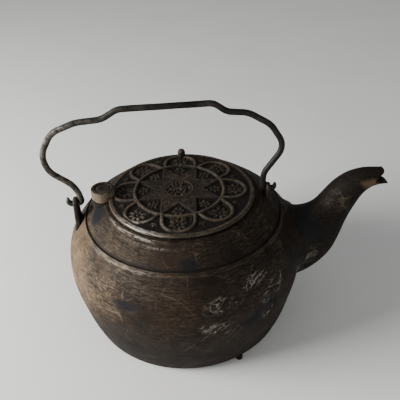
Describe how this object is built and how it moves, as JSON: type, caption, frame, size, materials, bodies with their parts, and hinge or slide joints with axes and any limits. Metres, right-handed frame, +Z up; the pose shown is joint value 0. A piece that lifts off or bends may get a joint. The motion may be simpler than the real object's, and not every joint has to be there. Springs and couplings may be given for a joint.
{
  "type": "kettle",
  "caption": "Cast iron stove kettle with a curved beak spout, a star-and-petal lid that swings on a vertical rivet, and a bent rod bail that folds down.",
  "frame": {"origin": "centre of the flat base, on the axis of the round body", "axes": "+Z up, +X towards the spout, +Y to the left when looking along the spout"},
  "size_m": [0.3308, 0.2344, 0.2419],
  "materials": {
    "body_iron": "dark brown seasoned cast iron, brushed and worn",
    "lid_iron": "dark seasoned cast iron with rubbed edges",
    "rivet_steel": "dark oiled",
    "bail_iron": "dark drawn iron rod"
  },
  "bodies": {
    "kettle": {"kettle_body": "body_iron", "spout": "body_iron", "rear_ear": "body_iron", "front_ear": "body_iron", "pivot_pad": "body_iron", "feet": "body_iron", "pivot_rivet": "rivet_steel"},
    "lid": {"lid": "lid_iron", "lid_knob": "lid_iron"},
    "bail": {"bail_handle": "bail_iron"}
  },
  "joints": [
    {"name": "lid_swing", "type": "hinge", "parent": "kettle", "child": "lid", "pos_m": [-0.077, 0.002, 0.145], "axis": [0, 0, 1], "range_deg": [-91, 102]},
    {"name": "bail_fold", "type": "hinge", "parent": "kettle", "child": "bail", "pos_m": [-0.1044, 0, 0.139], "axis": [0.9996, 0, 0.0287], "range_deg": [-96, 96]}
  ]
}
